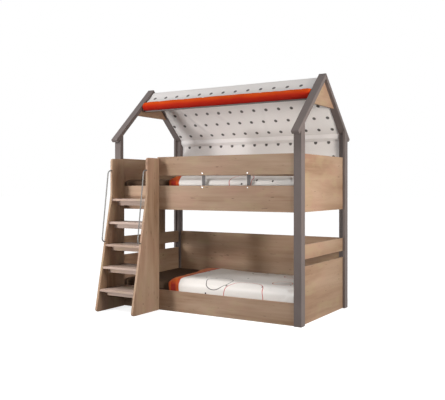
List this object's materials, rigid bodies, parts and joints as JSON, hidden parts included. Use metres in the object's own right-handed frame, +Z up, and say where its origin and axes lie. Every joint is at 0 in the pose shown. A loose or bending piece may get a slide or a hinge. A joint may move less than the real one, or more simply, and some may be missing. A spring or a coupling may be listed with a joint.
{
  "type": "bunk bed",
  "caption": "House-shaped bunk bed with L-section posts, a leaning open ladder with handrails, a gabled roof frame and a fabric roof, made up with mattresses and duvets.",
  "frame": {"origin": "on the floor, under the centre of the bounding box: midway along the bed, and midway between the toe of the ladder and the eave at the back", "axes": "+Z up, +Y to the back of the bed (the ladder is on the -Y side), +X along the bed from the ladder's end to the foot end"},
  "size_m": [2.12, 1.465, 2.2526],
  "materials": {
    "light_oak": "light oak decor, satin, grain along each board",
    "grey_lacquer": "warm dark grey lacquer, satin",
    "pine": "planed, bare",
    "steel": "satin nickel",
    "canopy_cloth": "woven cotton, off-white with dark dots",
    "orange_padding": "padded woven fabric, orange above and red below",
    "mattress_sheet": "grey-brown jersey sheet",
    "duvet_cotton": "white cotton with an orange and red striped head"
  },
  "bodies": {
    "root": {"post_front_left": "grey_lacquer", "post_front_right": "grey_lacquer", "post_rear_left": "grey_lacquer", "post_rear_right": "grey_lacquer", "rafter_front_left": "grey_lacquer", "rafter_front_right": "grey_lacquer", "rafter_rear_left": "grey_lacquer", "rafter_rear_right": "grey_lacquer", "gable_board_left": "light_oak", "gable_board_right": "light_oak", "ridge_pole": "grey_lacquer", "eave_rod_rear": "grey_lacquer", "purlin_front": "grey_lacquer", "purlin_sleeve": "orange_padding", "canopy": "canopy_cloth", "rail_lower_front": "light_oak", "rail_upper_front": "light_oak", "guard_board_front": "light_oak", "guard_strap_1": "steel", "guard_strap_2": "steel", "strap_screw_1_1": "steel", "strap_screw_1_2": "steel", "strap_screw_2_1": "steel", "strap_screw_2_2": "steel", "panel_lower_back": "light_oak", "panel_upper_back": "light_oak", "end_board_lower_left": "light_oak", "end_board_lower_right": "light_oak", "end_rail_lower_left": "light_oak", "end_rail_lower_right": "light_oak", "end_board_upper_left": "light_oak", "end_board_upper_right": "light_oak", "ledge_lower_front": "pine", "ledge_lower_back": "pine", "ledge_upper_front": "pine", "ledge_upper_back": "pine", "slat_base_lower": "pine", "slat_base_upper": "pine", "ladder_cheek_left": "light_oak", "ladder_cheek_right": "light_oak", "end_batten_left": "light_oak", "tread_1": "light_oak", "tread_2": "light_oak", "tread_3": "light_oak", "tread_4": "light_oak", "tread_5": "light_oak", "apron_1": "light_oak", "apron_2": "light_oak", "apron_3": "light_oak", "apron_4": "light_oak", "apron_5": "light_oak", "handrail_left": "steel", "handrail_right": "steel", "mattress_lower": "mattress_sheet", "mattress_upper": "mattress_sheet", "duvet_lower": "duvet_cotton", "duvet_upper": "duvet_cotton"}
  },
  "joints": []
}
